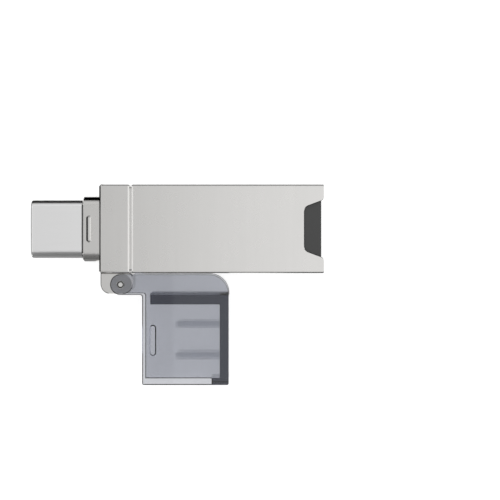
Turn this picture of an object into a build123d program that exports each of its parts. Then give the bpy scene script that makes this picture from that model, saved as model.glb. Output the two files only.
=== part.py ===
from build123d import *
import os

# A pocket memory card reader. A metal sleeve ends in a wide plug whose tongue also holds the card slot.
# At the other end a metal head carries a reversible plug and a clear cap, which swings half a turn about
# a pin at the head's side: shut it covers the plug, open it lies beside the sleeve. The cap is placed open.
# Millimetres. X runs from the reversible plug (-X) to the card end (+X), Y points away from the hinge
# and Z is up. The reader lies flat on z = 0, and the origin is the middle of the housing's underside.

# Memory card that the slot takes
CARD_LENGTH = 15.0
CARD_WIDTH = 11.0
CARD_THICKNESS = 0.7
CARD_SIDE_GAP = 0.06
CARD_FACE_GAP = 0.08

# Clearance round pieces that are pushed into place
SEAT_GAP = 0.04

# Metal sleeve
SLEEVE_WALL = 0.35
SLEEVE_INNER_RADIUS = 0.2
BODY_EDGE_RADIUS = 0.3
END_EDGE_BREAK = 0.05
NOTCH_DEPTH = 2.8
NOTCH_FLOOR_WIDTH = 6.05
NOTCH_MOUTH_WIDTH = 8.13
NOTCH_CORNER_RADIUS = 1.0
NOTCH_LIP_RADIUS = 0.6

# Metal head: block, groove, spigot, collar and hinge lug
HEAD_LENGTH = 4.22
HEAD_FACE_BREAK = 0.25
GROOVE_WIDTH = 0.34
GROOVE_DEPTH = 0.35
GROOVE_BEVEL_LENGTH = 0.2
GROOVE_BEVEL_DEPTH = 0.06
SPIGOT_LENGTH = 2.0
COLLAR_LENGTH = 2.5
COLLAR_FACE_WALL = 0.21
COLLAR_SIDE_WALL = 0.435
COLLAR_RIM_BREAK = 0.15
DETENT_LENGTH = 3.8
DETENT_WIDTH = 0.78
DETENT_HEIGHT = 0.2
DETENT_FLANK = 0.27
DETENT_FROM_HEAD = 1.53
LUG_SETBACK = 0.1
LUG_REACH = 1.66
LUG_HEEL_RADIUS = 1.35
LUG_TOE_RADIUS = 1.3
LUG_RELIEF_RADIUS = 0.55
LUG_EDGE_BREAK = 0.12
LUG_PLATE_GAP = 0.1
LUG_ROOT_DEPTH = 0.5

# Hinge pin
HINGE_SETBACK = 2.98
PIN_RADIUS = 0.32
PIN_PRESS_GAP = 0.01
PIN_RUN_GAP = 0.04
PIN_HEAD_RADIUS = 0.52
PIN_HEAD_THICKNESS = 0.26
PIN_HEAD_RIM = 0.03
PIN_DISH_RADIUS = 0.31
PIN_DISH_DEPTH = 0.1
PIN_END_SETBACK = 0.05

# Clear cap
CAP_PLATE = 0.55
CAP_COLLAR_GAP = 0.25
CAP_SETBACK = 0.05
CAP_SIDE_GAP = 0.18
CAP_SHUT_GAP = 0.07
CAP_TIP_GAP = 1.08
CAP_END_WALL = 1.26
CAP_HINGE_WALL = 1.23
CAP_HINGE_WALL_GAP = 0.42
CAP_HINGE_WALL_START = 1.15
CAP_RETURN_WALL = 0.95
CAP_RETURN_LENGTH = 2.4
CAP_LIP_SETBACK = 0.35
CAP_COVE_RADIUS = 0.65
CAP_CORNER_RADIUS = 2.75
CAP_THROAT_RADIUS = 0.35
CAP_SMALL_CORNER_RADIUS = 0.22
CAP_EDGE_BREAK = 0.08
KNUCKLE_RADIUS = 1.42
RIB_LENGTH = 6.25
RIB_WIDTH = 0.9
RIB_HEIGHT = 0.35
RIB_RAMP = 0.85
RIB_SPACING = 4.4
DETENT_POCKET_LENGTH = 4.35
DETENT_POCKET_WIDTH = 0.92
DETENT_POCKET_DEPTH = 0.15
OPEN_ANGLE = 180

# Reversible plug: drawn shell and the moulding, latch plate and ground springs inside it
PLUG_WIDTH = 8.25
PLUG_HEIGHT = 2.40
PLUG_REACH = 7.3
PLUG_SHELL_WALL = 0.25
PLUG_RIM_RADIUS = 0.22
PLUG_SEAT_DEPTH = 1.2
PLUG_FACE_RECESS = 0.25
TONGUE_SLOT_HEIGHT = 0.85
TONGUE_SLOT_DEPTH = 6.2
TONGUE_SIDE_WALL = 0.2
REAR_BLOCK_LENGTH = 1.9
REAR_BLOCK_SIDE_LIP = 0.35
REAR_BLOCK_FACE_LIP = 0.2
REAR_BLOCK_CORNER_RADIUS = 0.2
LATCH_THICKNESS = 0.15
LATCH_ARM_WIDTH = 0.26
LATCH_TIP_SETBACK = 1.6
LATCH_HOOK_LENGTH = 0.9
LATCH_HOOK_REACH = 0.2
LATCH_REAR_MARGIN = 0.3
LATCH_GAP = 0.03
GROUND_SPRING_THICKNESS = 0.08
GROUND_SPRING_LENGTH = 0.8
GROUND_SPRING_SETBACK = 0.2
GROUND_FINGER_COUNT = 3
GROUND_FINGER_WIDTH = 1.3
GROUND_FINGER_SPACING = 1.7
GROUND_FINGER_LIFT = 0.12
GROUND_BRIDGE_LENGTH = 0.3

# Plug contacts
CONTACT_PITCH = 0.5
CONTACT_UPPER_COUNT = 12
CONTACT_MISSING_BELOW = 2
CONTACT_WIDTH = 0.25
CONTACT_THICKNESS = 0.12
CONTACT_GAP = 0.03
CONTACT_TIP_SETBACK = 1.4
CONTACT_NOSE_LENGTH = 0.5
CONTACT_ARM_LENGTH = 1.1
CONTACT_LIFT = 0.2
CONTACT_JOG_LENGTH = 0.45
CONTACT_TAIL_LENGTH = 0.9

# Circuit board and what is soldered to it
BAY_LENGTH = 9.04
BOARD_THICKNESS = 0.6
BOARD_NOSE_GAP = 0.3
BOARD_SHOULDER_GAP = 0.2
BOARD_CORNER_RADIUS = 0.4
CHIP_SIDE = 4.0
CHIP_HEIGHT = 0.85
CHIP_FROM_SPIGOT = 0.9
CHIP_EDGE_BREAK = 0.1
CHIP_DOT_RADIUS = 0.22
CHIP_DOT_INSET = 0.6
CHIP_DOT_DEPTH = 0.05
REGULATOR_LENGTH = 2.9
REGULATOR_WIDTH = 1.6
REGULATOR_HEIGHT = 1.0
REGULATOR_EDGE_BREAK = 0.12
REGULATOR_LEAD_COUNT = 3
REGULATOR_LEAD_PITCH = 0.95
REGULATOR_LEAD_WIDTH = 0.4
REGULATOR_LEAD_REACH = 0.5
REGULATOR_LEAD_THICKNESS = 0.15
REGULATOR_CHIP_GAP = 0.9
PASSIVE_LENGTH = 1.0
PASSIVE_WIDTH = 0.5
PASSIVE_GAP = 0.35
PASSIVE_CHIP_GAP = 0.6
PASSIVE_EDGE_BREAK = 0.05
CAPACITOR_HEIGHT = 0.5
CAPACITOR_COUNT = 4
RESISTOR_HEIGHT = 0.35
RESISTOR_COUNT = 6

# Moulded card frame, its springs, the wide plug's contacts and the cradle under the board
FRAME_ROOF = 0.25
FRAME_FLOOR = 0.28
FRAME_RAIL = 0.25
FRAME_RECESS = 0.35
FRAME_LIP = 0.4
FRAME_LEAD_IN = 0.15
CARD_STOP_WALL = 0.8
SPRING_COUNT = 8
SPRING_PITCH = 1.1
SPRING_WIDTH = 0.45
SPRING_THICKNESS = 0.12
SPRING_GAP = 0.08
SPRING_TAIL_LENGTH = 0.9
SPRING_WINDOW_START = 0.5
SPRING_WINDOW_LENGTH = 3.7
SPRING_ROOT_LENGTH = 0.3
SPRING_RISE_LENGTH = 2.2
SPRING_NOSE_LENGTH = 0.7
SPRING_LIFT = 0.3
SPRING_NOSE_DROP = 0.2
PORT_DEPTH = 11.6
STRIP_WIDTH = 1.0
STRIP_THICKNESS = 0.06
STRIP_OUTER_SPACING = 7.0
STRIP_INNER_SPACING = 2.0
STRIP_OUTER_LENGTH = 7.4
STRIP_INNER_LENGTH = 6.4
STRIP_REAR_FROM_END = 8.6
CRADLE_FLOOR = 0.45
CRADLE_WALL = 0.8

# Thickness, from the plug outwards: collar, cap and body
collar_width = PLUG_WIDTH + 2 * (SEAT_GAP + COLLAR_SIDE_WALL)
collar_thickness = PLUG_HEIGHT + 2 * (SEAT_GAP + COLLAR_FACE_WALL)
cap_gap = collar_thickness + 2 * CAP_COLLAR_GAP
cap_thickness = cap_gap + 2 * CAP_PLATE
body_thickness = cap_thickness + 2 * CAP_SETBACK
mid_height = body_thickness / 2

# Width, from the card outwards: slot, frame and body
slot_width = CARD_WIDTH + 2 * CARD_SIDE_GAP
frame_width = slot_width + 2 * FRAME_RAIL
sleeve_bore_width = frame_width + 2 * SEAT_GAP
sleeve_bore_height = body_thickness - 2 * SLEEVE_WALL
body_width = sleeve_bore_width + 2 * SLEEVE_WALL

# Places along the length
body_length = HEAD_LENGTH + GROOVE_WIDTH + SPIGOT_LENGTH + BAY_LENGTH + CARD_STOP_WALL + CARD_LENGTH
front = -body_length / 2
rear = body_length / 2
head_rear = front + HEAD_LENGTH
sleeve_front = head_rear + GROOVE_WIDTH
spigot_end = sleeve_front + SPIGOT_LENGTH
card_stop = rear - CARD_LENGTH
frame_rear = card_stop - CARD_STOP_WALL
frame_front = rear - FRAME_RECESS
collar_front = front - COLLAR_LENGTH
plug_tip = collar_front - PLUG_REACH
plug_seat = front + PLUG_SEAT_DEPTH
rear_block_end = plug_seat + REAR_BLOCK_LENGTH
board_front = rear_block_end + CONTACT_JOG_LENGTH

# Heights inside the sleeve, from its roof down to the board
frame_top = body_thickness - SLEEVE_WALL - SEAT_GAP
slot_top = frame_top - FRAME_ROOF
slot_floor = slot_top - CARD_THICKNESS - CARD_FACE_GAP
board_top = slot_floor - FRAME_FLOOR
board_bottom = board_top - BOARD_THICKNESS

# Hinge axis and the cap's edges as they stand when it is shut
hinge_x = front + HINGE_SETBACK
hinge_y = -body_width / 2 - CAP_SIDE_GAP - KNUCKLE_RADIUS
cap_low_y = hinge_y - KNUCKLE_RADIUS
cap_high_y = body_width / 2
cap_open_x = front - CAP_SHUT_GAP
cap_end_x = plug_tip - CAP_TIP_GAP - CAP_END_WALL

# Inside of the reversible plug
moulding_width = PLUG_WIDTH - 2 * (PLUG_SHELL_WALL + SEAT_GAP)
moulding_height = PLUG_HEIGHT - 2 * (PLUG_SHELL_WALL + SEAT_GAP)
moulding_face = plug_tip + PLUG_FACE_RECESS
tongue_slot_width = moulding_width - 2 * TONGUE_SIDE_WALL
tongue_slot_end = plug_tip + TONGUE_SLOT_DEPTH
rear_block_width = PLUG_WIDTH + 2 * REAR_BLOCK_SIDE_LIP
rear_block_height = PLUG_HEIGHT + 2 * REAR_BLOCK_FACE_LIP
contact_row = TONGUE_SLOT_HEIGHT / 2 + CONTACT_GAP
contact_groove_top = contact_row + CONTACT_THICKNESS + CONTACT_GAP
head_bore_width = rear_block_width + 2 * SEAT_GAP
board_nose_width = head_bore_width - 2 * BOARD_NOSE_GAP
board_width = slot_width - 2 * SEAT_GAP


def block(x_span, y_span, z_span):
    """A box between two values along each axis."""
    spans = (x_span, y_span, z_span)
    middle = [(low + high) / 2 for low, high in spans]
    size = [high - low for low, high in spans]
    return Pos(*middle) * Box(*size)


def drawn_out(section, x_from, x_to):
    """A section across the length, centred on the plug's axis, drawn out along X."""
    across = Plane(origin=(x_from, 0, mid_height), x_dir=(0, 1, 0), z_dir=(1, 0, 0))
    return extrude(across * section, x_to - x_from)


def upright(outline, z_from, z_to):
    """A plan outline raised from one height to another."""
    return extrude(Plane.XY.offset(z_from) * outline, z_to - z_from)


def plan_rectangle(x_span, y_span):
    """A plan rectangle between two values along X and Y."""
    middle = Pos((x_span[0] + x_span[1]) / 2, (y_span[0] + y_span[1]) / 2)
    return middle * Rectangle(x_span[1] - x_span[0], y_span[1] - y_span[0])


def side_profile(corners, width, y):
    """A side view, as (x, z) corners, drawn out along Y to a width about y."""
    side = make_face(Polyline(*corners, close=True))
    return extrude(Plane(origin=(0, y + width / 2, 0), x_dir=(1, 0, 0), z_dir=(0, -1, 0)) * side, width)


def bent_strip(lower_face, thickness, width, y):
    """A stamped strip, from the side view of its lower face as (x, z) points."""
    upper_face = [(x, z + thickness) for x, z in reversed(lower_face)]
    return side_profile(lower_face + upper_face, width, y)


def row_places(count, pitch):
    """Places of a row of like things, evenly spaced about the middle."""
    return [(index - (count - 1) / 2) * pitch for index in range(count)]


def rounded_corner(outline, x, y, radius):
    """The outline with its corner nearest to a point rounded."""
    corner = outline.vertices().sort_by_distance((x, y, 0))[0]
    return fillet(corner, radius)


def groove_bevel(end_face):
    """The body that an end face belongs to, with a shallow bevel round that end, where the groove runs."""
    return chamfer(end_face.edges(), GROOVE_BEVEL_DEPTH, GROOVE_BEVEL_LENGTH, reference=end_face)


def housing_sleeve():
    """Tube with a bevelled front edge and a flared thumb notch through both faces at the open end."""
    tube = drawn_out(RectangleRounded(body_width, body_thickness, BODY_EDGE_RADIUS), sleeve_front, rear)
    tube = groove_bevel(tube.faces().sort_by(Axis.X)[0])

    notch_floor = rear - NOTCH_DEPTH
    flare = (NOTCH_MOUTH_WIDTH - NOTCH_FLOOR_WIDTH) / 2 / NOTCH_DEPTH
    past_end = rear + NOTCH_LIP_RADIUS
    half_floor = NOTCH_FLOOR_WIDTH / 2
    half_past_end = NOTCH_MOUTH_WIDTH / 2 + flare * NOTCH_LIP_RADIUS
    outline = make_face(Polyline(
        (notch_floor, -half_floor),
        (past_end, -half_past_end),
        (past_end, half_past_end),
        (notch_floor, half_floor),
        close=True,
    ))
    outline = fillet(outline.vertices().sort_by(Axis.X)[:2], NOTCH_CORNER_RADIUS)
    tube -= upright(outline, 0, body_thickness)

    near = SEAT_GAP / 2
    lips = [
        edge for edge in tube.edges().filter_by(Axis.Z)
        if edge.center().X > rear - near and abs(edge.center().Y) < body_width / 2 - near
    ]
    tube = fillet(lips, NOTCH_LIP_RADIUS)
    end_edges = [
        edge for edge in tube.edges()
        if edge.center().X > notch_floor - near
        and (abs(edge.center().Z - mid_height) > near or abs(edge.center().Y) > body_width / 2 - near)
    ]
    tube = chamfer(end_edges, END_EDGE_BREAK)
    bore = RectangleRounded(sleeve_bore_width, sleeve_bore_height, SLEEVE_INNER_RADIUS)
    return tube - drawn_out(bore, sleeve_front, rear)


def hinge_lug():
    """Plate on the head's side that stands between the cap's two plates and holds the pin."""
    lug_front = front + LUG_SETBACK
    lug_rear = hinge_x + LUG_REACH
    lug_low_y = cap_low_y + LUG_SETBACK
    side = -body_width / 2
    half = cap_gap / 2 - LUG_PLATE_GAP
    outline = plan_rectangle((lug_front, lug_rear), (lug_low_y, side))
    outline = rounded_corner(outline, lug_front, lug_low_y, LUG_HEEL_RADIUS)
    outline = rounded_corner(outline, lug_rear, lug_low_y, LUG_TOE_RADIUS)
    outline = rounded_corner(outline, lug_rear, side, LUG_RELIEF_RADIUS)
    lug = upright(outline, mid_height - half, mid_height + half)
    rims = lug.faces().filter_by(Axis.Z).edges().filter_by(lambda edge: edge.center().Y < side - SEAT_GAP)
    lug = chamfer(rims, LUG_EDGE_BREAK)
    root_rear = head_rear - GROOVE_BEVEL_LENGTH - LUG_RELIEF_RADIUS
    root_span = (mid_height - half + LUG_EDGE_BREAK, mid_height + half - LUG_EDGE_BREAK)
    return lug + block((lug_front, root_rear), (side - LUG_EDGE_BREAK, side + LUG_ROOT_DEPTH), root_span)


def head_block():
    """Block, groove, spigot, collar with its detent ridge, and lug in one piece, bored for the plug."""
    body = drawn_out(RectangleRounded(body_width, body_thickness, BODY_EDGE_RADIUS), front, head_rear)
    body = chamfer(body.faces().sort_by(Axis.X)[0].edges(), HEAD_FACE_BREAK)
    body = groove_bevel(body.faces().sort_by(Axis.X)[-1])

    neck_width = body_width - 2 * GROOVE_DEPTH
    neck_height = body_thickness - 2 * GROOVE_DEPTH
    neck_section = RectangleRounded(neck_width, neck_height, BODY_EDGE_RADIUS)
    neck = drawn_out(neck_section, front + HEAD_LENGTH / 2, sleeve_front)
    spigot_width = sleeve_bore_width - 2 * SEAT_GAP
    spigot_height = sleeve_bore_height - 2 * SEAT_GAP
    spigot_section = RectangleRounded(spigot_width, spigot_height, SLEEVE_INNER_RADIUS)
    spigot = drawn_out(spigot_section, front + HEAD_LENGTH / 2, spigot_end)
    collar = drawn_out(SlotOverall(collar_width, collar_thickness), collar_front, front + HEAD_LENGTH / 2)
    collar = chamfer(collar.faces().sort_by(Axis.X)[0].outer_wire().edges(), COLLAR_RIM_BREAK)
    ridge_outline = Pos(front - DETENT_FROM_HEAD, 0) * SlotOverall(DETENT_LENGTH, DETENT_WIDTH, rotation=90)
    ridge = upright(ridge_outline, mid_height, mid_height + collar_thickness / 2 + DETENT_HEIGHT)
    crest = ridge.faces().sort_by(Axis.Z)[-1]
    ridge = chamfer(crest.edges(), DETENT_FLANK, DETENT_HEIGHT, reference=crest)
    body = body + neck + spigot + collar + ridge + hinge_lug()

    plug_bore = SlotOverall(PLUG_WIDTH + 2 * SEAT_GAP, PLUG_HEIGHT + 2 * SEAT_GAP)
    body -= drawn_out(plug_bore, collar_front, plug_seat)
    rear_bore = RectangleRounded(head_bore_width, rear_block_height + 2 * SEAT_GAP, REAR_BLOCK_CORNER_RADIUS)
    body -= drawn_out(rear_bore, plug_seat, spigot_end)
    pin_hole = Pos(hinge_x, hinge_y) * Circle(PIN_RADIUS + PIN_PRESS_GAP)
    return body - upright(pin_hole, 0, body_thickness)


def hinge_pin():
    """Pin pressed into the lug, with a dished head in the well on each side of the cap."""
    pin_axis = Pos(hinge_x, hinge_y)
    end = mid_height + cap_thickness / 2 - PIN_END_SETBACK
    half = upright(pin_axis * Circle(PIN_RADIUS), mid_height, end)
    half += upright(pin_axis * Circle(PIN_HEAD_RADIUS), end - PIN_HEAD_THICKNESS, end)
    from_floor = (Align.CENTER, Align.CENTER, Align.MIN)
    dish = Cone(PIN_DISH_RADIUS, PIN_HEAD_RADIUS - PIN_HEAD_RIM, PIN_DISH_DEPTH, align=from_floor)
    half -= Pos(hinge_x, hinge_y, end - PIN_DISH_DEPTH) * dish
    return half + mirror(half, about=Plane.XY.offset(mid_height))


def cap_outline():
    """Plan of the cap's plates when shut: a cover over the plug and an arm to the knuckle."""
    cover = plan_rectangle((cap_end_x, cap_open_x), (cap_low_y, cap_high_y))
    arm_top = hinge_y + KNUCKLE_RADIUS
    arm = plan_rectangle((cap_open_x - KNUCKLE_RADIUS, hinge_x), (cap_low_y, arm_top))
    outline = cover + arm + Pos(hinge_x, hinge_y) * Circle(KNUCKLE_RADIUS)
    outline = rounded_corner(outline, cap_end_x, cap_low_y, CAP_CORNER_RADIUS)
    outline = rounded_corner(outline, cap_open_x, arm_top, CAP_THROAT_RADIUS)
    outline = rounded_corner(outline, cap_end_x, cap_high_y, CAP_SMALL_CORNER_RADIUS)
    return rounded_corner(outline, cap_open_x, cap_high_y, CAP_SMALL_CORNER_RADIUS)


def cap_plate(outline, z_from, z_to):
    """One plate of the cap, with its lower edges broken."""
    plate = upright(outline, z_from, z_to)
    return chamfer(plate.faces().sort_by(Axis.Z)[0].edges(), CAP_EDGE_BREAK)


def cap_walls(outline, gap_low, gap_high):
    """The cap's wall beside the hinge, its end wall and the short return at the end wall's far corner."""
    inner_y = -collar_width / 2 - CAP_HINGE_WALL_GAP
    outer_y = inner_y - CAP_HINGE_WALL
    wall_start = front - CAP_HINGE_WALL_START
    rooted = (gap_low - CAP_PLATE / 2, gap_high + CAP_PLATE / 2)
    walls = block((cap_end_x, wall_start), (outer_y, inner_y), rooted)
    walls += block((cap_end_x, cap_end_x + CAP_END_WALL), (outer_y, cap_high_y), rooted)
    return_span = (cap_high_y - CAP_RETURN_WALL, cap_high_y)
    walls += block((cap_end_x, cap_end_x + CAP_RETURN_LENGTH), return_span, rooted)
    cove = CAP_COVE_RADIUS
    centre_y = outer_y - cove
    for root_z, inward in ((gap_low, 1), (gap_high, -1)):
        centre_z = root_z + inward * cove - mid_height
        corner = Pos(outer_y - cove / 2, root_z + inward * cove / 2 - mid_height) * Rectangle(cove, cove)
        walls += drawn_out(corner - Pos(centre_y, centre_z) * Circle(cove), cap_end_x, wall_start)
    return walls & upright(outline, *rooted)


def flip_cap():
    """Clear cap with a fingernail lip, shaped shut over the plug and then swung open about the pin."""
    outline = cap_outline()
    gap_low = mid_height - cap_gap / 2
    gap_high = mid_height + cap_gap / 2
    cap = cap_walls(outline, gap_low, gap_high)
    lip = plan_rectangle((cap_end_x + CAP_RETURN_LENGTH, cap_open_x), (cap_high_y - CAP_LIP_SETBACK, cap_high_y))
    cap += cap_plate(outline - lip, gap_low - CAP_PLATE, gap_low)
    cap += cap_plate(outline, gap_high, gap_high + CAP_PLATE)

    rib_root = cap_end_x + CAP_END_WALL / 2
    rib_tip = cap_end_x + CAP_END_WALL + RIB_LENGTH
    for root_z, inward in ((gap_low, 1), (gap_high, -1)):
        buried_z = root_z - inward * CAP_PLATE / 2
        crest_z = root_z + inward * RIB_HEIGHT
        corners = [
            (rib_root, buried_z),
            (rib_tip, buried_z),
            (rib_tip, root_z),
            (rib_tip - RIB_RAMP, crest_z),
            (rib_root, crest_z),
        ]
        for y in (-RIB_SPACING / 2, RIB_SPACING / 2):
            cap += side_profile(corners, RIB_WIDTH, y)

    pocket_outline = SlotOverall(DETENT_POCKET_LENGTH, DETENT_POCKET_WIDTH, rotation=90)
    pocket_outline = Pos(front - DETENT_FROM_HEAD, 0) * pocket_outline
    pocket = upright(pocket_outline, mid_height, gap_high + DETENT_POCKET_DEPTH)
    cap -= chamfer(pocket.faces().sort_by(Axis.Z)[-1].edges(), DETENT_POCKET_DEPTH)

    pin_axis = Pos(hinge_x, hinge_y)
    cap -= upright(pin_axis * Circle(PIN_RADIUS + PIN_RUN_GAP), 0, body_thickness)
    well = pin_axis * Circle(PIN_HEAD_RADIUS + PIN_RUN_GAP)
    well_depth = PIN_END_SETBACK + PIN_HEAD_THICKNESS + PIN_RUN_GAP
    cap -= upright(well, gap_low - CAP_PLATE, gap_low - CAP_PLATE + well_depth)
    cap -= upright(well, gap_high + CAP_PLATE - well_depth, gap_high + CAP_PLATE)
    return cap.rotate(Axis((hinge_x, hinge_y, 0), (0, 0, 1)), OPEN_ANGLE)


def usb_c_shell():
    """Seamless drawn shell with a rolled rim at the tip."""
    shell = drawn_out(SlotOverall(PLUG_WIDTH, PLUG_HEIGHT), plug_tip, plug_seat)
    shell = fillet(shell.faces().sort_by(Axis.X)[0].edges(), PLUG_RIM_RADIUS)
    bore = SlotOverall(PLUG_WIDTH - 2 * PLUG_SHELL_WALL, PLUG_HEIGHT - 2 * PLUG_SHELL_WALL)
    return shell - drawn_out(bore, plug_tip, plug_seat)


def latch_outline(gap):
    """Plan of the latch plate, or of the room it needs when gap is not zero."""
    arm_outer = tongue_slot_width / 2 - LATCH_GAP + gap
    base_span = (tongue_slot_end - gap, rear_block_end - LATCH_REAR_MARGIN + gap)
    outline = plan_rectangle(base_span, (-arm_outer, arm_outer))
    arm_tip = plug_tip + LATCH_TIP_SETBACK
    for side in (-1, 1):
        arm_inner = side * (arm_outer - LATCH_ARM_WIDTH)
        hook = make_face(Polyline(
            (arm_tip, arm_inner),
            (arm_tip + LATCH_HOOK_LENGTH / 2, arm_inner - side * LATCH_HOOK_REACH),
            (arm_tip + LATCH_HOOK_LENGTH, arm_inner),
            close=True,
        ))
        low, high = sorted((arm_inner, side * arm_outer))
        outline += plan_rectangle((arm_tip, tongue_slot_end + LATCH_ARM_WIDTH), (low, high)) + hook
    return outline


def usb_c_latch_plate():
    """Stamped plate in the plug's middle plane, with a sprung latch arm along each side of the slot."""
    return upright(latch_outline(0), mid_height - LATCH_THICKNESS / 2, mid_height + LATCH_THICKNESS / 2)


def contact_places(below):
    """Places across the plug of the contacts in one row; the lower row leaves out the middle ones."""
    places = row_places(CONTACT_UPPER_COUNT, CONTACT_PITCH)
    missing = CONTACT_MISSING_BELOW if below else 0
    keep_out = missing * CONTACT_PITCH / 2
    return [y for y in places if abs(y) >= keep_out]


def usb_c_contacts(side, tail_z):
    """One row of plug contacts: a sprung nose in the slot, an arm in its groove and a tail on the board."""
    nose = plug_tip + CONTACT_TIP_SETBACK
    row = mid_height + side * contact_row
    row_low = min(row, row + side * CONTACT_THICKNESS)
    crown = row_low - side * CONTACT_LIFT
    path = [
        (nose, row_low),
        (nose + CONTACT_NOSE_LENGTH, crown),
        (nose + CONTACT_NOSE_LENGTH + CONTACT_ARM_LENGTH, row_low),
        (rear_block_end, row_low),
        (board_front, tail_z),
        (board_front + CONTACT_TAIL_LENGTH, tail_z),
    ]
    places = contact_places(below=side < 0)
    return Compound([bent_strip(path, CONTACT_THICKNESS, CONTACT_WIDTH, y).solid() for y in places])


def usb_c_ground_spring(side):
    """Ground fingers along one wall of the plug's mouth, joined by a bridge that sits in the moulding."""
    seat = mid_height + side * (TONGUE_SLOT_HEIGHT / 2)
    low = min(seat, seat + side * GROUND_SPRING_THICKNESS)
    start = moulding_face + GROUND_SPRING_SETBACK
    bridge_end = start + GROUND_BRIDGE_LENGTH
    end = start + GROUND_SPRING_LENGTH
    crown = (bridge_end + end) / 2
    path = [(start, low), (bridge_end, low), (crown, low - side * GROUND_FINGER_LIFT), (end, low)]
    half_width = ground_spring_width() / 2
    spring = block((start, bridge_end), (-half_width, half_width), (low, low + GROUND_SPRING_THICKNESS))
    for y in row_places(GROUND_FINGER_COUNT, GROUND_FINGER_SPACING):
        spring += bent_strip(path, GROUND_SPRING_THICKNESS, GROUND_FINGER_WIDTH, y)
    return spring


def ground_spring_width():
    """Width across all the ground fingers."""
    return (GROUND_FINGER_COUNT - 1) * GROUND_FINGER_SPACING + GROUND_FINGER_WIDTH


def usb_c_insulator():
    """Moulding inside the plug shell: the slot, a groove for every contact and the block behind the shell."""
    body = drawn_out(SlotOverall(moulding_width, moulding_height), moulding_face, plug_seat)
    rear_section = RectangleRounded(rear_block_width, rear_block_height, REAR_BLOCK_CORNER_RADIUS)
    body += drawn_out(rear_section, plug_seat, rear_block_end)
    body -= drawn_out(Rectangle(tongue_slot_width, TONGUE_SLOT_HEIGHT), moulding_face, tongue_slot_end)

    groove_half = CONTACT_WIDTH / 2 + CONTACT_GAP
    groove_front = plug_tip + CONTACT_TIP_SETBACK - CONTACT_GAP
    groove_foot = contact_row - CONTACT_GAP
    spring_half = ground_spring_width() / 2 + CONTACT_GAP
    spring_start = moulding_face + GROUND_SPRING_SETBACK - CONTACT_GAP
    spring_end = moulding_face + GROUND_SPRING_SETBACK + GROUND_SPRING_LENGTH + CONTACT_GAP
    for side in (-1, 1):
        groove_span = sorted((mid_height + side * groove_foot, mid_height + side * contact_groove_top))
        for y in contact_places(below=side < 0):
            body -= block((groove_front, rear_block_end), (y - groove_half, y + groove_half), groove_span)
        pocket_top = TONGUE_SLOT_HEIGHT / 2 + GROUND_SPRING_THICKNESS
        pocket_span = sorted((mid_height + side * TONGUE_SLOT_HEIGHT / 2, mid_height + side * pocket_top))
        body -= block((spring_start, spring_end), (-spring_half, spring_half), pocket_span)
    latch_half = LATCH_THICKNESS / 2 + LATCH_GAP
    return body - upright(latch_outline(LATCH_GAP), mid_height - latch_half, mid_height + latch_half)


def circuit_board():
    """Board with a narrow nose in the head and its full width in the sleeve."""
    shoulder = spigot_end + BOARD_SHOULDER_GAP
    nose_half = board_nose_width / 2
    half = board_width / 2
    board_end = frame_front - FRAME_LIP - SEAT_GAP
    outline = plan_rectangle((board_front, shoulder), (-nose_half, nose_half))
    outline += plan_rectangle((shoulder, board_end), (-half, half))
    for side in (-1, 1):
        outline = rounded_corner(outline, shoulder, side * half, BOARD_CORNER_RADIUS)
    return upright(outline, board_bottom, board_top)


def card_reader_chip():
    """Square chip with a pin-one dot, on the board's upper face."""
    chip_front = spigot_end + CHIP_FROM_SPIGOT
    half = CHIP_SIDE / 2
    chip = block((chip_front, chip_front + CHIP_SIDE), (-half, half), (board_top, board_top + CHIP_HEIGHT))
    chip = chamfer(chip.faces().sort_by(Axis.Z)[-1].edges(), CHIP_EDGE_BREAK)
    dot = Pos(chip_front + CHIP_DOT_INSET, CHIP_DOT_INSET - half) * Circle(CHIP_DOT_RADIUS)
    top = board_top + CHIP_HEIGHT
    return chip - upright(dot, top - CHIP_DOT_DEPTH, top)


def voltage_regulator():
    """Small regulator beside the chip, with leads along both long sides."""
    middle_x = spigot_end + CHIP_FROM_SPIGOT + CHIP_SIDE / 2
    middle_y = CHIP_SIDE / 2 + REGULATOR_CHIP_GAP + REGULATOR_WIDTH / 2
    half_length = REGULATOR_LENGTH / 2
    half_width = REGULATOR_WIDTH / 2
    body = block(
        (middle_x - half_length, middle_x + half_length),
        (middle_y - half_width, middle_y + half_width),
        (board_top + REGULATOR_LEAD_THICKNESS, board_top + REGULATOR_HEIGHT),
    )
    body = chamfer(body.faces().sort_by(Axis.Z)[-1].edges(), REGULATOR_EDGE_BREAK)
    lead_half = half_width + REGULATOR_LEAD_REACH
    for x in row_places(REGULATOR_LEAD_COUNT, REGULATOR_LEAD_PITCH):
        body += block(
            (middle_x + x - REGULATOR_LEAD_WIDTH / 2, middle_x + x + REGULATOR_LEAD_WIDTH / 2),
            (middle_y - lead_half, middle_y + lead_half),
            (board_top, board_top + REGULATOR_LEAD_THICKNESS),
        )
    return body


def chip_passive(x, y, height):
    """One chip capacitor or resistor with softened edges, lying along X."""
    half_length = PASSIVE_LENGTH / 2
    half_width = PASSIVE_WIDTH / 2
    across = (y - half_width, y + half_width)
    piece = block((x - half_length, x + half_length), across, (board_top, board_top + height))
    return chamfer(piece.faces().sort_by(Axis.Z)[-1].edges(), PASSIVE_EDGE_BREAK).solid()


def capacitors():
    """Row of capacitors along the chip's other side."""
    middle_x = spigot_end + CHIP_FROM_SPIGOT + CHIP_SIDE / 2
    y = -CHIP_SIDE / 2 - PASSIVE_CHIP_GAP - PASSIVE_WIDTH / 2
    places = row_places(CAPACITOR_COUNT, PASSIVE_LENGTH + PASSIVE_GAP)
    return Compound([chip_passive(middle_x + x, y, CAPACITOR_HEIGHT) for x in places])


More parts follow.
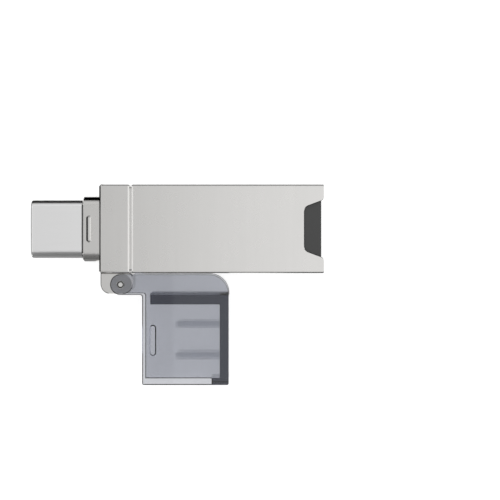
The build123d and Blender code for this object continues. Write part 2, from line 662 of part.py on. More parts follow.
def resistors():
    """Column of resistors between the chip and the card springs' tails."""
    x = spigot_end + CHIP_FROM_SPIGOT + CHIP_SIDE + PASSIVE_CHIP_GAP + PASSIVE_LENGTH / 2
    places = row_places(RESISTOR_COUNT, PASSIVE_WIDTH + PASSIVE_GAP)
    return Compound([chip_passive(x, y, RESISTOR_HEIGHT) for y in places])


def card_frame():
    """Moulding that roofs the board: the card slot, its stop, the springs' windows and the tongue's lip."""
    half = frame_width / 2
    frame = block((frame_rear, frame_front), (-half, half), (board_bottom, frame_top))
    upper_edges = frame.edges().filter_by(Axis.X).sort_by(Axis.Z)[-2:]
    frame = fillet(upper_edges, SLEEVE_INNER_RADIUS)
    half_slot = slot_width / 2
    frame -= block((card_stop, frame_front), (-half_slot, half_slot), (slot_floor, slot_top))
    frame -= block((frame_rear, frame_front - FRAME_LIP), (-half_slot, half_slot), (board_bottom, board_top))

    mouth = [
        edge for edge in frame.edges().filter_by(Axis.Y)
        if edge.center().X > frame_front - SEAT_GAP and edge.center().Z < frame_top - SEAT_GAP
    ]
    frame = chamfer(mouth, FRAME_LEAD_IN)

    window_half = SPRING_WIDTH / 2 + SPRING_GAP
    window_start = card_stop + SPRING_WINDOW_START
    channel_top = board_top + SPRING_THICKNESS + SPRING_GAP
    for y in row_places(SPRING_COUNT, SPRING_PITCH):
        across = (y - window_half, y + window_half)
        frame -= block((frame_rear, window_start), across, (board_top, channel_top))
        frame -= block((window_start, window_start + SPRING_WINDOW_LENGTH), across, (board_top, slot_floor))
    return frame


def card_contacts():
    """Eight springs, soldered behind the card stop, that rise through the slot's floor."""
    rise_start = card_stop + SPRING_WINDOW_START + SPRING_ROOT_LENGTH
    crown = rise_start + SPRING_RISE_LENGTH
    path = [
        (frame_rear - SPRING_TAIL_LENGTH, board_top),
        (rise_start, board_top),
        (crown, slot_floor + SPRING_LIFT),
        (crown + SPRING_NOSE_LENGTH, slot_floor + SPRING_LIFT - SPRING_NOSE_DROP),
    ]
    places = row_places(SPRING_COUNT, SPRING_PITCH)
    return Compound([bent_strip(path, SPRING_THICKNESS, SPRING_WIDTH, y).solid() for y in places])


def usb_a_contacts():
    """Four gold strips on the tongue's underside: two long outer ones and two shorter inner ones."""
    strip_rear = rear - STRIP_REAR_FROM_END
    strips = []
    outer = (STRIP_OUTER_SPACING, STRIP_OUTER_LENGTH)
    inner = (STRIP_INNER_SPACING, STRIP_INNER_LENGTH)
    for spacing, length in (outer, inner):
        for y in (-spacing / 2, spacing / 2):
            across = (y - STRIP_WIDTH / 2, y + STRIP_WIDTH / 2)
            outline = plan_rectangle((strip_rear, strip_rear + length), across)
            strips.append(upright(outline, board_bottom - STRIP_THICKNESS, board_bottom).solid())
    return Compound(strips)


def board_cradle():
    """Open tray that carries the board on the sleeve's floor and closes the back of the wide plug's mouth."""
    half = frame_width / 2
    start = spigot_end + SEAT_GAP
    end = rear - PORT_DEPTH
    cradle = block((start, end), (-half, half), (SLEEVE_WALL, board_bottom))
    lower_edges = cradle.edges().filter_by(Axis.X).sort_by(Axis.Z)[:2]
    cradle = fillet(lower_edges, SLEEVE_INNER_RADIUS)
    return cradle - block(
        (start + CRADLE_WALL, end - CRADLE_WALL),
        (CRADLE_WALL - half, half - CRADLE_WALL),
        (SLEEVE_WALL + CRADLE_FLOOR, board_bottom),
    )


pieces = {
    "housing_sleeve": housing_sleeve(),
    "head_block": head_block(),
    "hinge_pin": hinge_pin(),
    "flip_cap": flip_cap(),
    "usb_c_shell": usb_c_shell(),
    "usb_c_insulator": usb_c_insulator(),
    "usb_c_latch_plate": usb_c_latch_plate(),
    "usb_c_upper_contacts": usb_c_contacts(1, board_top),
    "usb_c_lower_contacts": usb_c_contacts(-1, board_bottom - CONTACT_THICKNESS),
    "usb_c_upper_ground_spring": usb_c_ground_spring(1),
    "usb_c_lower_ground_spring": usb_c_ground_spring(-1),
    "circuit_board": circuit_board(),
    "card_reader_chip": card_reader_chip(),
    "voltage_regulator": voltage_regulator(),
    "capacitors": capacitors(),
    "resistors": resistors(),
    "card_frame": card_frame(),
    "card_contacts": card_contacts(),
    "usb_a_contacts": usb_a_contacts(),
    "board_cradle": board_cradle(),
}

os.makedirs("parts", exist_ok=True)
for name, piece in pieces.items():
    export_step(piece, f"parts/{name}.step")
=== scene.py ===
import math

import bmesh
import bpy
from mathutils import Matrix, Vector


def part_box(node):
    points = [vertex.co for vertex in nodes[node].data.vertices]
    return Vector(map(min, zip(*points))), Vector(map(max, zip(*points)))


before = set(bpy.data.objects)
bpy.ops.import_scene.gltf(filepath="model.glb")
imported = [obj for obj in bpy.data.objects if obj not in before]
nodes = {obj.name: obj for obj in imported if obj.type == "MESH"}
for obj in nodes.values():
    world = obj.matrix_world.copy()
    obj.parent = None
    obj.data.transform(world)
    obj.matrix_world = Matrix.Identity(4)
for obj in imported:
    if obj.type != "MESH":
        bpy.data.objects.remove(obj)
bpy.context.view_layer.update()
scene = bpy.context.scene
MM = 0.001

# Metal sleeve
# The sleeve is a drawn aluminium tube with a thumb notch cut through both faces. Its faces are bead blasted,
# its sides left as drawn and its broken edges burnished, then all is clear anodised, with faint streaks.
SATIN_SHADE = (0.636, 0.629, 0.616, 1)
SATIN_LIGHT = (0.662, 0.654, 0.641, 1)
SATIN_WORN_AND_HIGHLIT_EDGE = (0.76, 0.75, 0.735, 1)
SATIN_ROUGHNESS = (0.25, 0.31)
DRAWN_SIDE_ROUGHNESS = 0.20
BURNISHED_ROUGHNESS = 0.10
SATIN_GRAIN = 0.05 * MM
SATIN_RELIEF = 0.0001 * MM
SATIN_STREAKS = {"Along X": 0.6 * MM, "Along Y": 14 * MM, "Along Z": 14 * MM}
EDGE_WEAR_AND_HIGHLIGHT_WIDTH = 0.05 * MM


def place(tree, kind, sockets=(), **settings):
    """Adds a node; sockets gives inputs by name or number, each a plain value or another node's output."""
    node = tree.nodes.new(kind)
    for name, value in settings.items():
        setattr(node, name, value)
    for name, value in dict(sockets).items():
        if isinstance(value, bpy.types.NodeSocket):
            tree.links.new(value, node.inputs[name])
        else:
            node.inputs[name].default_value = value
    return node


def new_group(name, inputs, outputs):
    """An empty shader group with named number inputs and outputs; gives the tree and its two end nodes."""
    group = bpy.data.node_groups.new(name, "ShaderNodeTree")
    for socket, default in inputs.items():
        group.interface.new_socket(socket, in_out="INPUT", socket_type="NodeSocketFloat").default_value = default
    for socket in outputs:
        group.interface.new_socket(socket, in_out="OUTPUT", socket_type="NodeSocketFloat")
    return group, group.nodes.new("NodeGroupInput"), group.nodes.new("NodeGroupOutput")


def fine_grain():
    """A blasted or moulded skin: grains of about one size, in metres, with a softer cloud under them."""
    group, given, result = new_group("fine grain", {"Grain": 0.05 * MM}, ("Height", "Cloud"))
    where = place(group, "ShaderNodeTexCoord").outputs["Object"]
    scale = place(group, "ShaderNodeMath", {0: 1.0, 1: given.outputs["Grain"]}, operation="DIVIDE").outputs[0]
    coarse = place(group, "ShaderNodeMath", {0: scale, 1: 0.02}, operation="MULTIPLY").outputs[0]
    grain = place(group, "ShaderNodeTexNoise", {"Vector": where, "Scale": scale, "Detail": 2.0})
    cloud = place(group, "ShaderNodeTexNoise", {"Vector": where, "Scale": coarse, "Detail": 3.0})
    group.links.new(grain.outputs["Fac"], result.inputs["Height"])
    group.links.new(cloud.outputs["Fac"], result.inputs["Cloud"])
    return group


def drawn_streaks():
    """Streaks that drawing or brushing leaves: noise stretched by different amounts along X, Y and Z."""
    sizes = {"Along X": 1 * MM, "Along Y": 1 * MM, "Along Z": 1 * MM}
    group, given, result = new_group("drawn streaks", sizes, ("Streak",))
    where = place(group, "ShaderNodeTexCoord").outputs["Object"]
    size = place(group, "ShaderNodeCombineXYZ", {i: given.outputs[n] for i, n in enumerate(sizes)}).outputs[0]
    cell = place(group, "ShaderNodeVectorMath", {0: where, 1: size}, operation="DIVIDE").outputs[0]
    noise = place(group, "ShaderNodeTexNoise", {"Vector": cell, "Scale": 1.0, "Detail": 4.0})
    group.links.new(noise.outputs["Fac"], result.inputs["Streak"])
    return group


def edge_wear_and_highlight():
    """Where fingers and pockets polish a piece, with a highlight painted there too: 1 on its sharp edges, 0 on its
    open faces.
    """
    group, given, result = new_group("edge wear and painted highlight", {"Width": 0.06 * MM}, ("Edge",))
    rounded = place(group, "ShaderNodeBevel", {"Radius": given.outputs["Width"]}, samples=4).outputs[0]
    plain = place(group, "ShaderNodeNewGeometry").outputs["Normal"]
    likeness = place(group, "ShaderNodeVectorMath", {0: rounded, 1: plain}, operation="DOT_PRODUCT").outputs["Value"]
    edge = place(group, "ShaderNodeMapRange", {"Value": likeness, "From Min": 0.995, "From Max": 0.85})
    group.links.new(edge.outputs["Result"], result.inputs["Edge"])
    return group


fine_grain_group = fine_grain()
drawn_streaks_group = drawn_streaks()
edge_wear_and_highlight_group = edge_wear_and_highlight()


def new_finish(name, **sockets):
    """A material with one Principled shader; plain values of its sockets are given by name."""
    material = bpy.data.materials.new(name)
    material.use_nodes = True
    shader = material.node_tree.nodes["Principled BSDF"]
    for socket, value in sockets.items():
        shader.inputs[socket.replace("_", " ")].default_value = value
    return material, material.node_tree, shader


def colour_mix(tree, share, first, second):
    """A colour between two, by a share that changes over the surface."""
    mix = place(tree, "ShaderNodeMix", {"Factor": share}, data_type="RGBA")
    for socket, colour in ((6, first), (7, second)):
        if isinstance(colour, bpy.types.NodeSocket):
            tree.links.new(colour, mix.inputs[socket])
        else:
            mix.inputs[socket].default_value = colour
    return mix.outputs[2]


def spread(tree, value, low, high):
    """A value from 0 to 1 spread between two limits."""
    return place(tree, "ShaderNodeMapRange", {"Value": value, "To Min": low, "To Max": high}).outputs["Result"]


def raise_grain(tree, shader, height, depth):
    """Raises a fine height, in metres at its most, on the shader's surface."""
    bump = place(tree, "ShaderNodeBump", {"Height": height, "Distance": depth})
    tree.links.new(bump.outputs["Normal"], shader.inputs["Normal"])


def lies_flat(tree, least, most):
    """1 on faces that lie flat, 0 on sloping and upright ones; least and most are the limits between."""
    facing = place(tree, "ShaderNodeSeparateXYZ", {0: place(tree, "ShaderNodeNewGeometry").outputs["True Normal"]})
    upward = place(tree, "ShaderNodeMath", {0: facing.outputs["Z"]}, operation="ABSOLUTE").outputs[0]
    limits = {"Value": upward, "From Min": least, "From Max": most}
    return place(tree, "ShaderNodeMapRange", limits, interpolation_type="SMOOTHSTEP").outputs["Result"]


def broken_edge(tree):
    """1 on the broken edges, which slope, and 0 on flat and upright faces."""
    upright = lies_flat(tree, 0.5, 0.25)
    flat = lies_flat(tree, 0.75, 0.88)
    either = place(tree, "ShaderNodeMath", {0: upright, 1: flat}, operation="MAXIMUM").outputs[0]
    return place(tree, "ShaderNodeMath", {0: 1.0, 1: either}, operation="SUBTRACT").outputs[0]


def value_mix(tree, share, first, second):
    """A value between two, by a share that changes over the surface."""
    return place(tree, "ShaderNodeMix", {"Factor": share, "A": first, "B": second}).outputs["Result"]


def dress(node, material):
    """Gives a solid of the frame its finish."""
    nodes[node].data.materials.clear()
    nodes[node].data.materials.append(material)


def satin_metal(name):
    """The blasted and anodised finish; gives the material, its shader and its colour, for marks over it."""
    material, tree, shader = new_finish(name, Metallic=1.0)
    grain = place(tree, "ShaderNodeGroup", {"Grain": SATIN_GRAIN}, node_tree=fine_grain_group)
    streak = place(tree, "ShaderNodeGroup", SATIN_STREAKS, node_tree=drawn_streaks_group)
    edge = place(tree, "ShaderNodeGroup", {"Width": EDGE_WEAR_AND_HIGHLIGHT_WIDTH}, node_tree=edge_wear_and_highlight_group)
    face = colour_mix(tree, streak.outputs["Streak"], SATIN_SHADE, SATIN_LIGHT)
    # Sharp edges are lightened: partly worn bare metal, partly a painted highlight along the edges.
    colour = colour_mix(tree, edge.outputs["Edge"], face, SATIN_WORN_AND_HIGHLIT_EDGE)
    tree.links.new(colour, shader.inputs["Base Color"])
    blasted = spread(tree, grain.outputs["Cloud"], *SATIN_ROUGHNESS)
    roughness = value_mix(tree, lies_flat(tree, 0.6, 0.95), DRAWN_SIDE_ROUGHNESS, blasted)
    roughness = value_mix(tree, broken_edge(tree), roughness, BURNISHED_ROUGHNESS)
    tree.links.new(roughness, shader.inputs["Roughness"])
    raise_grain(tree, shader, grain.outputs["Height"], SATIN_RELIEF)
    return material, shader, colour


dress("housing_sleeve", satin_metal("satin metal")[0])

# Metal head
# One machined block of the same metal: the block itself, the groove behind it, the spigot pushed into the
# sleeve, the collar round the plug with its oblong detent ridge, and the lug, painted darker round the pin as shade
# where the cap's plates close over it.
HINGE_PAINTED_SHADE = (0.36, 0.355, 0.345, 1)
HINGE_SHADE_RADIUS = 1.5 * MM
HINGE_SHADE_FADE = 0.06 * MM


def satin_with_hinge_shade():
    material, shader, colour = satin_metal("satin metal, painted shade at the hinge")
    tree = material.node_tree
    pin_low, pin_high = (Vector(corner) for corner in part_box("hinge_pin"))
    across = {0: place(tree, "ShaderNodeTexCoord").outputs["Object"], 1: (pin_low + pin_high) / 2}
    across = place(tree, "ShaderNodeVectorMath", across, operation="SUBTRACT").outputs[0]
    level = place(tree, "ShaderNodeVectorMath", {0: across, 1: (1.0, 1.0, 0.0)}, operation="MULTIPLY").outputs[0]
    away = place(tree, "ShaderNodeVectorMath", {0: level}, operation="LENGTH").outputs["Value"]
    ring = {"Value": away, "From Min": HINGE_SHADE_RADIUS + HINGE_SHADE_FADE, "From Max": HINGE_SHADE_RADIUS}
    hinge_shade = place(tree, "ShaderNodeMapRange", ring).outputs["Result"]
    # A ring round the hinge pin is painted darker: painted shade where the lug lies between the cap's plates.
    tree.links.new(colour_mix(tree, hinge_shade, colour, HINGE_PAINTED_SHADE), shader.inputs["Base Color"])
    return material


dress("head_block", satin_with_hinge_shade())

# Reversible plug's shell
# A seamless stainless steel shell, drawn along its length and nickel plated, brighter than the body. It is
# pressed into the collar against the moulding behind it, it is black in a thin band just in front of the collar, and
# its mouth is burnished.
PLUG_SHADE = (0.83, 0.83, 0.83, 1)
PLUG_LIGHT = (0.88, 0.88, 0.88, 1)
PLUG_ROUGHNESS = (0.26, 0.32)
DRAWN_RELIEF = 0.0006 * MM
JOINT_BLACK = (0.02, 0.02, 0.02, 1)
JOINT_BLACK_WIDTH = 0.12 * MM
MOUTH_RIM = 0.20 * MM


def drawn_steel(name, shade, light, roughness, stretch):
    material, tree, shader = new_finish(name, Metallic=1.0)
    streak = place(tree, "ShaderNodeGroup", stretch, node_tree=drawn_streaks_group)
    tree.links.new(colour_mix(tree, streak.outputs["Streak"], shade, light), shader.inputs["Base Color"])
    tree.links.new(spread(tree, streak.outputs["Streak"], *roughness), shader.inputs["Roughness"])
    raise_grain(tree, shader, streak.outputs["Streak"], DRAWN_RELIEF)
    return material


along_length = {"Along X": 6 * MM, "Along Y": 0.05 * MM, "Along Z": 0.05 * MM}


def plug_steel():
    material = drawn_steel("plated plug steel", PLUG_SHADE, PLUG_LIGHT, PLUG_ROUGHNESS, along_length)
    tree = material.node_tree
    shader = tree.nodes["Principled BSDF"]
    where = place(tree, "ShaderNodeSeparateXYZ", {0: place(tree, "ShaderNodeTexCoord").outputs["Object"]})
    is_joint = {0: where.outputs["X"], 1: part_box("head_block")[0][0] - JOINT_BLACK_WIDTH}
    is_joint = place(tree, "ShaderNodeMath", is_joint, operation="GREATER_THAN").outputs[0]
    is_rim = {0: where.outputs["X"], 1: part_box("usb_c_shell")[0][0] + MOUTH_RIM}
    is_rim = place(tree, "ShaderNodeMath", is_rim, operation="LESS_THAN").outputs[0]
    steel = shader.inputs["Base Color"].links[0].from_socket
    drawn = shader.inputs["Roughness"].links[0].from_socket
    # The shell is black and not metallic in a thin band just in front of the collar.
    tree.links.new(colour_mix(tree, is_joint, steel, JOINT_BLACK), shader.inputs["Base Color"])
    tree.links.new(value_mix(tree, is_joint, 1.0, 0.0), shader.inputs["Metallic"])
    tree.links.new(value_mix(tree, is_rim, drawn, BURNISHED_ROUGHNESS), shader.inputs["Roughness"])
    return material


dress("usb_c_shell", plug_steel())

# Plug's moulding
# The black glass-filled nylon inside the shell, with the slot for the mating tongue and a groove for every
# contact. Its block behind the shell seats in the head.
NYLON_DARK = (0.010, 0.010, 0.011, 1)
NYLON_GREY = (0.022, 0.022, 0.024, 1)
NYLON_ROUGHNESS = (0.42, 0.55)
NYLON_GRAIN = 0.06 * MM
MOULDED_RELIEF = 0.002 * MM


def moulded_plastic(name, dark, grey, roughness, grain_size):
    material, tree, shader = new_finish(name)
    grain = place(tree, "ShaderNodeGroup", {"Grain": grain_size}, node_tree=fine_grain_group)
    tree.links.new(colour_mix(tree, grain.outputs["Cloud"], dark, grey), shader.inputs["Base Color"])
    tree.links.new(spread(tree, grain.outputs["Cloud"], *roughness), shader.inputs["Roughness"])
    raise_grain(tree, shader, grain.outputs["Height"], MOULDED_RELIEF)
    return material


dress("usb_c_insulator", moulded_plastic("black nylon", NYLON_DARK, NYLON_GREY, NYLON_ROUGHNESS, NYLON_GRAIN))

# Plug's latch plate and ground springs
# Stamped from thin stainless spring strip: the plate between the contact rows with its two latch arms, and
# the ground fingers at the mouth.
STRIP_SHADE = (0.52, 0.51, 0.49, 1)
STRIP_LIGHT = (0.64, 0.63, 0.61, 1)
STRIP_ROUGHNESS = (0.28, 0.38)
rolled_strip = drawn_steel("spring strip", STRIP_SHADE, STRIP_LIGHT, STRIP_ROUGHNESS, along_length)
for node in ("usb_c_latch_plate", "usb_c_upper_ground_spring", "usb_c_lower_ground_spring"):
    dress(node, rolled_strip)

# Contacts
# The plug's two rows, the eight card springs and the four strips of the wide plug: stamped copper alloy,
# gold plated where they mate. The plating is thin, so it shows the strip's rolling lines.
GOLD_SHADE = (0.74, 0.49, 0.18, 1)
GOLD_LIGHT = (0.90, 0.66, 0.30, 1)
GOLD_ROUGHNESS = (0.20, 0.32)
gold = drawn_steel("gold plate", GOLD_SHADE, GOLD_LIGHT, GOLD_ROUGHNESS, along_length)
for node in ("usb_c_upper_contacts", "usb_c_lower_contacts", "card_contacts", "usb_a_contacts"):
    dress(node, gold)

# Circuit board
# Glass and epoxy laminate under a dark green solder mask. The glass cloth's weave shows faintly through
# the mask, and the board's sawn edge is bare laminate.
MASK_DARK = (0.008, 0.045, 0.026, 1)
MASK_LIGHT = (0.016, 0.078, 0.044, 1)
LAMINATE = (0.36, 0.33, 0.18, 1)
WEAVE_PITCH = 0.35 * MM
WEAVE_RELIEF = 0.004 * MM
SAWN_ROUGHNESS = 0.75
MASK_ROUGHNESS = 0.34
MASK_COAT = 0.6


def board_laminate():
    material, tree, shader = new_finish("solder mask", Coat_Roughness=0.12, Coat_IOR=1.5)
    where = place(tree, "ShaderNodeTexCoord").outputs["Object"]
    turns = place(tree, "ShaderNodeVectorMath", {0: where, "Scale": 2 * math.pi / WEAVE_PITCH}, operation="SCALE")
    x_y = place(tree, "ShaderNodeSeparateXYZ", {0: turns.outputs[0]})
    warp = place(tree, "ShaderNodeMath", {0: x_y.outputs["X"]}, operation="SINE").outputs[0]
    weft = place(tree, "ShaderNodeMath", {0: x_y.outputs["Y"]}, operation="SINE").outputs[0]
    crossing = place(tree, "ShaderNodeMath", {0: warp, 1: weft}, operation="MULTIPLY").outputs[0]
    weave = place(tree, "ShaderNodeMapRange", {"Value": crossing, "From Min": -1.0}).outputs["Result"]
    flat = lies_flat(tree, 0.5, 0.9)
    mask = colour_mix(tree, weave, MASK_DARK, MASK_LIGHT)
    tree.links.new(colour_mix(tree, flat, LAMINATE, mask), shader.inputs["Base Color"])
    tree.links.new(spread(tree, flat, SAWN_ROUGHNESS, MASK_ROUGHNESS), shader.inputs["Roughness"])
    tree.links.new(spread(tree, flat, 0.0, MASK_COAT), shader.inputs["Coat Weight"])
    raise_grain(tree, shader, weave, WEAVE_RELIEF)
    return material


dress("circuit_board", board_laminate())

# Chips on the board
# The card controller and the voltage regulator are moulded in black epoxy; the regulator's flat leads are
# tinned. Both are soldered to the board's upper face.
EPOXY_DARK = (0.014, 0.014, 0.015, 1)
EPOXY_GREY = (0.032, 0.032, 0.034, 1)
EPOXY_ROUGHNESS = (0.55, 0.70)
EPOXY_GRAIN = 0.05 * MM
LEAD_THICKNESS = 0.15 * MM
TIN = (0.68, 0.67, 0.65, 1)
dress("card_reader_chip", moulded_plastic("chip epoxy", EPOXY_DARK, EPOXY_GREY, EPOXY_ROUGHNESS, EPOXY_GRAIN))


def tin_over(material, mask):
    """Covers a finish with dull tin where a mask is 1."""
    tree = material.node_tree
    shader = tree.nodes["Principled BSDF"]
    under = shader.inputs["Base Color"].links[0].from_socket
    tree.links.new(colour_mix(tree, mask, under, TIN), shader.inputs["Base Color"])
    tree.links.new(mask, shader.inputs["Metallic"])


def leaded_epoxy():
    material = moulded_plastic("regulator epoxy", EPOXY_DARK, EPOXY_GREY, EPOXY_ROUGHNESS, EPOXY_GRAIN)
    tree = material.node_tree
    lead_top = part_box("voltage_regulator")[0][2] + LEAD_THICKNESS
    where = place(tree, "ShaderNodeSeparateXYZ", {0: place(tree, "ShaderNodeTexCoord").outputs["Object"]})
    is_lead = {0: where.outputs["Z"], 1: lead_top}
    tin_over(material, place(tree, "ShaderNodeMath", is_lead, operation="LESS_THAN").outputs[0])
    return material


dress("voltage_regulator", leaded_epoxy())

# Chip capacitors and resistors
# Small fired blocks with tinned ends: tan ceramic for the capacitors, black glaze on the resistors.
# They stand in rows along the board and are soldered to it by their ends.
CERAMIC = ((0.30, 0.18, 0.09, 1), (0.38, 0.24, 0.13, 1))
GLAZE = ((0.012, 0.012, 0.014, 1), (0.030, 0.030, 0.034, 1))
CERAMIC_ROUGHNESS = (0.45, 0.60)
GLAZE_ROUGHNESS = (0.25, 0.40)
BLOCK_LENGTH = 1.0 * MM
BLOCK_PITCH = 1.35 * MM
TINNED_BAND = 0.22 * MM
BLOCK_GRAIN = 0.04 * MM


def fired_block(node, name, shades, roughness):
    """Ceramic that is tinned at both ends of every block in a row along X."""
    material = moulded_plastic(name, *shades, roughness, BLOCK_GRAIN)
    tree = material.node_tree
    where = place(tree, "ShaderNodeSeparateXYZ", {0: place(tree, "ShaderNodeTexCoord").outputs["Object"]})
    along = {0: where.outputs["X"], 1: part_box(node)[0][0]}
    along = place(tree, "ShaderNodeMath", along, operation="SUBTRACT").outputs[0]
    in_block = place(tree, "ShaderNodeMath", {0: along, 1: BLOCK_PITCH}, operation="FLOORED_MODULO").outputs[0]
    off_middle = place(tree, "ShaderNodeMath", {0: in_block, 1: BLOCK_LENGTH / 2}, operation="SUBTRACT").outputs[0]
    off_middle = place(tree, "ShaderNodeMath", {0: off_middle}, operation="ABSOLUTE").outputs[0]
    is_end = {0: off_middle, 1: BLOCK_LENGTH / 2 - TINNED_BAND}
    tin_over(material, place(tree, "ShaderNodeMath", is_end, operation="GREATER_THAN").outputs[0])
    dress(node, material)


fired_block("capacitors", "capacitor ceramic", CERAMIC, CERAMIC_ROUGHNESS)
fired_block("resistors", "resistor glaze", GLAZE, GLAZE_ROUGHNESS)

# Card frame and cradle
# Two dark grey mouldings with a fine spark-eroded skin. The frame makes the card slot and the wide plug's
# tongue and shows in the thumb notch; the cradle carries the board on the sleeve's floor.
MOULDING_DARK = (0.042, 0.042, 0.042, 1)
MOULDING_GREY = (0.054, 0.054, 0.054, 1)
ERODED_ROUGHNESS = (0.50, 0.60)
ERODED_GRAIN = 0.07 * MM
eroded = moulded_plastic("dark moulding", MOULDING_DARK, MOULDING_GREY, ERODED_ROUGHNESS, ERODED_GRAIN)
dress("card_frame", eroded)
dress("board_cradle", eroded)

# Hinge pin
# A steel pin pressed into the lug, its ends spread into dished heads that hold the cap on. The floor of each
# dish is polished by the punch; the slope round it is painted dark, as shade.
PIN_PAINTED_SHADE = (0.035, 0.034, 0.033, 1)
PIN_POLISHED = (0.72, 0.72, 0.71, 1)
PIN_ROUGHNESS = (0.14, 0.24)
PIN_GRAIN = 0.03 * MM
PIN_RELIEF = 0.0004 * MM


def punched_steel():
    material, tree, shader = new_finish("punched pin steel", Metallic=1.0)
    grain = place(tree, "ShaderNodeGroup", {"Grain": PIN_GRAIN}, node_tree=fine_grain_group)
    dish_floor = lies_flat(tree, 0.9, 0.99)
    # The dish's sloping faces are painted near black as shade; its flat floor keeps the steel's colour.
    tree.links.new(colour_mix(tree, dish_floor, PIN_PAINTED_SHADE, PIN_POLISHED), shader.inputs["Base Color"])
    tree.links.new(spread(tree, grain.outputs["Cloud"], *PIN_ROUGHNESS), shader.inputs["Roughness"])
    raise_grain(tree, shader, grain.outputs["Height"], PIN_RELIEF)
    return material


dress("hinge_pin", punched_steel())

# Swing-over cap
# One moulding in smoke-grey clear polycarbonate: two plates, the walls that join them, ribs inside and an
# oblong pocket that clicks over the collar's ridge. The colour is in the plastic, so thick walls are darker.
SMOKE_PER_MM = 1.0
SMOKE_PASSES = (0.275, 0.305, 0.395, 1)
CLEAR_IOR = 1.585
CLEAR_ROUGHNESS = 0.02


def smoke_clear():
    material, tree, shader = new_finish(
        "smoke polycarbonate", Base_Color=(1, 1, 1, 1), Transmission_Weight=1.0,
        IOR=CLEAR_IOR, Roughness=CLEAR_ROUGHNESS)
    output = tree.nodes["Material Output"]
    lamp_way = place(tree, "ShaderNodeBsdfTransparent")
    is_shadow = place(tree, "ShaderNodeLightPath").outputs["Is Shadow Ray"]
    sockets = {0: is_shadow, 1: shader.outputs["BSDF"], 2: lamp_way.outputs["BSDF"]}
    tree.links.new(place(tree, "ShaderNodeMixShader", sockets).outputs[0], output.inputs["Surface"])
    smoke = place(tree, "ShaderNodeVolumeAbsorption", {"Color": SMOKE_PASSES, "Density": SMOKE_PER_MM / MM})
    tree.links.new(smoke.outputs["Volume"], output.inputs["Volume"])
    return material


dress("flip_cap", smoke_clear())

# Studio floor
# A plain white floor just under the reader. It is white to the camera and to mirror-like faces, and still
# takes the reader's soft shadow. Seen through the clear cap it glows less, as a painted shadow of the cap.
FLOOR_DROP = 0.02 * MM
FLOOR_REACH = 4.0
FLOOR_ALBEDO = 0.40
FLOOR_GLOW = 0.80
FLOOR_GLOW_IN_PAINTED_CAP_SHADOW = 0.61


def flat_sheet(name, corners):
    """A flat four-cornered sheet that is part of the studio."""
    mesh = bpy.data.meshes.new(name)
    shape = bmesh.new()
    shape.faces.new([shape.verts.new(corner) for corner in corners])
    shape.to_mesh(mesh)
    shape.free()
    sheet = bpy.data.objects.new(name, mesh)
    scene.collection.objects.link(sheet)
    return sheet


def floor_paint():
    material = bpy.data.materials.new("floor paint")
    material.use_nodes = True
    tree = material.node_tree
    tree.nodes.remove(tree.nodes["Principled BSDF"])
    ray = place(tree, "ShaderNodeLightPath").outputs
    shown = place(tree, "ShaderNodeMath", {0: ray["Is Camera Ray"], 1: ray["Is Glossy Ray"]}, operation="MAXIMUM")
    seen = place(tree, "ShaderNodeMath", {0: shown.outputs[0], 1: FLOOR_GLOW}, operation="MULTIPLY").outputs[0]
    # Seen through the clear cap the floor glows less: a painted shadow of the cap.
    glow = {"Factor": ray["Is Transmission Ray"], "A": seen, "B": FLOOR_GLOW_IN_PAINTED_CAP_SHADOW}
    glow = place(tree, "ShaderNodeMix", glow).outputs["Result"]
    light = place(tree, "ShaderNodeEmission", {"Color": (1, 1, 1, 1), "Strength": glow}).outputs[0]
    matt = place(tree, "ShaderNodeBsdfDiffuse", {"Color": (FLOOR_ALBEDO,) * 3 + (1,)}).outputs[0]
    both = place(tree, "ShaderNodeAddShader", {0: light, 1: matt}).outputs[0]
    tree.links.new(both, tree.nodes["Material Output"].inputs["Surface"])
    return material


corners = [(x * FLOOR_REACH, y * FLOOR_REACH, -FLOOR_DROP) for x, y in ((-1, -1), (1, -1), (1, 1), (-1, 1))]
floor = flat_sheet("floor", corners)
floor.data.materials.append(floor_paint())

# Studio light
# A pale room, lighter overhead towards the card end, even and darker at the horizon, and white to the camera.
# A large soft box brightens the flat faces at the card end; smaller ones stand behind and over the plug end.
# Low reflector cards close to the reader show only in its burnished edges and rounded sides; those lying flat on the
# floor by the plug are painted floor shade in its reflections.
ROOM_LIGHT = 0.76
ROOM_SLANT = 0.5
ROOM_WHITE = 1.0
HORIZON_LIGHT = 0.30
CEILING_FROM = 0.75
CARD_END_LIGHT = 0.32
BACK_LIGHT = 0.18
PLUG_END_LIGHT = 1.0

world = bpy.data.worlds.new("studio room")
scene.world = world
world.use_nodes = True
room = world.node_tree
towards = place(room, "ShaderNodeSeparateXYZ", {0: place(room, "ShaderNodeTexCoord").outputs["Generated"]})
slant = {"Value": towards.outputs["X"], "From Min": -1.0, "From Max": 1.0,
         "To Min": ROOM_LIGHT * (1 - ROOM_SLANT), "To Max": ROOM_LIGHT * (1 + ROOM_SLANT)}
ceiling = place(room, "ShaderNodeMapRange", slant).outputs["Result"]
height = {"Value": towards.outputs["Z"], "From Max": CEILING_FROM}
height = place(room, "ShaderNodeMapRange", height, interpolation_type="SMOOTHSTEP").outputs["Result"]
room_light = place(room, "ShaderNodeMix", {"Factor": height, "A": HORIZON_LIGHT, "B": ceiling}).outputs["Result"]
ray = place(room, "ShaderNodeLightPath").outputs
seen = place(room, "ShaderNodeMath", {0: ray["Is Camera Ray"], 1: ray["Is Transmission Ray"]}, operation="MAXIMUM")
room_shown = place(room, "ShaderNodeMix", {"Factor": seen.outputs[0], "A": room_light, "B": ROOM_WHITE})
room.links.new(room_shown.outputs["Result"], room.nodes["Background"].inputs["Strength"])
room.nodes["Background"].inputs["Color"].default_value = (1, 1, 1, 1)


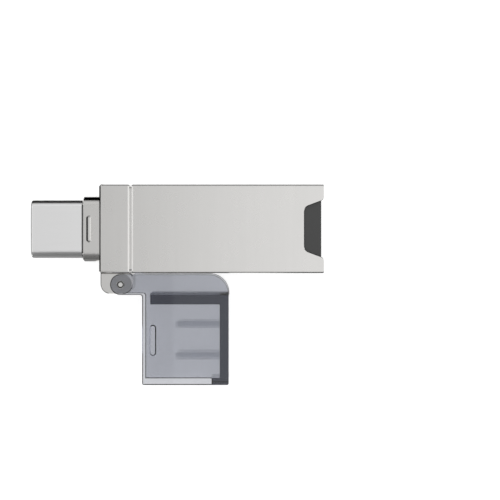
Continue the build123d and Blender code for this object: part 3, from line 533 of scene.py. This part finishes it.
def soft_box(name, centre, width, depth, radiance):
    """A large area light that faces the reader, wide level and deep along its tilt, as bright as radiance says."""
    light = bpy.data.lights.new(name, "AREA")
    light.shape = "RECTANGLE"
    light.size = width
    light.size_y = depth
    light.energy = radiance * math.pi * width * depth
    box = bpy.data.objects.new(name, light)
    box.location = centre
    box.rotation_euler = Vector(centre).to_track_quat("Z", "Y").to_euler()
    box.visible_camera = False
    scene.collection.objects.link(box)


soft_box("box over the card end", centre=(0.17, 0.0, 0.26), width=0.34, depth=0.50, radiance=CARD_END_LIGHT)
soft_box("box behind", centre=(0.0, 0.26, 0.22), width=0.50, depth=0.20, radiance=BACK_LIGHT)
soft_box("box over the plug end", centre=(-0.22, 0.0, 0.26), width=0.40, depth=0.085, radiance=PLUG_END_LIGHT)


def reflector_card(name, corners, grey):
    """A card that only mirror-like faces see, to draw their edges; its corners are in millimetres."""
    card = flat_sheet(name, [tuple(v * MM for v in corner) for corner in corners])
    paint = {"Base_Color": (grey, grey, grey, 1), "Roughness": 1.0, "Specular_IOR_Level": 0.0}
    card.data.materials.append(new_finish(name, **paint)[0])
    card.visible_camera = False
    card.visible_diffuse = False
    card.visible_transmission = False
    card.visible_volume_scatter = False
    card.visible_shadow = False


BLACK_CARD = 0.0
# Cards lying flat at floor level by the plug (behind, before, under its tip) are painted floor shade for its
# reflections; the standing ones are black flags.
BLACK_CARDS = {
    "black card behind": ((-16, 10, 2), (40, 10, 2), (40, 10, 6), (-16, 10, 6)),
    "black card beside the plug": ((-34, 10, 0), (-16, 10, 0), (-16, 10, 5), (-34, 10, 5)),
    "painted-shade card behind the plug": ((-34, 7, 0), (-16, 7, 0), (-16, 10, 0), (-34, 10, 0)),
    "black card at the plug": ((-40, -16, 0), (-40, 16, 0), (-40, 16, 11), (-40, -16, 11)),
    "painted-shade card before the plug": ((-40, -16, 0), (-35, -16, 0), (-35, 16, 0), (-40, 16, 0)),
    "painted-shade card under the plug's tip": ((-29, -9, 0), (-27, -9, 0), (-27, 9, 0), (-29, 9, 0)),
    "black card in front": ((4, -10, 0), (40, -10, 0), (40, -10, 5), (14, -10, 5)),
    "low black card in front": ((-16, -36, 0), (60, -36, 0), (60, -36, 14), (-16, -36, 14)),
}
GREY_CARD = 0.42
# The grey card lying flat under the plug is painted floor shade for its reflections.
GREY_CARDS = {
    "grey card by the plug": ((-30, -14, 0), (-16, -14, 0), (-16, -14, 22), (-30, -14, 22)),
    "grey painted-shade card under the plug": ((-30, -14, 0), (-17, -14, 0), (-17, -5, 0), (-30, -5, 0)),
}
for name, corners in BLACK_CARDS.items():
    reflector_card(name, corners, BLACK_CARD)
for name, corners in GREY_CARDS.items():
    reflector_card(name, corners, GREY_CARD)

# Camera
# It looks straight down from about an eighth of a metre, as the photograph does. The lens is shifted a
# little, because the photograph's axis lies above its middle.
CAMERA_PLACE = (5.38 * MM, -1.5 * MM, 129.6 * MM)
SENSOR_WIDTH = 36.0
PICTURE_WIDTH = 500
FOCAL_PIXELS = 896
AXIS_ABOVE_MIDDLE = 10.45

lens = bpy.data.cameras.new("camera")
lens.sensor_width = SENSOR_WIDTH
lens.lens = FOCAL_PIXELS / PICTURE_WIDTH * SENSOR_WIDTH
lens.shift_y = -AXIS_ABOVE_MIDDLE / PICTURE_WIDTH
lens.clip_start = 1 * MM
camera = bpy.data.objects.new("camera", lens)
camera.location = CAMERA_PLACE
scene.collection.objects.link(camera)
scene.camera = camera
scene.view_settings.view_transform = "Standard"
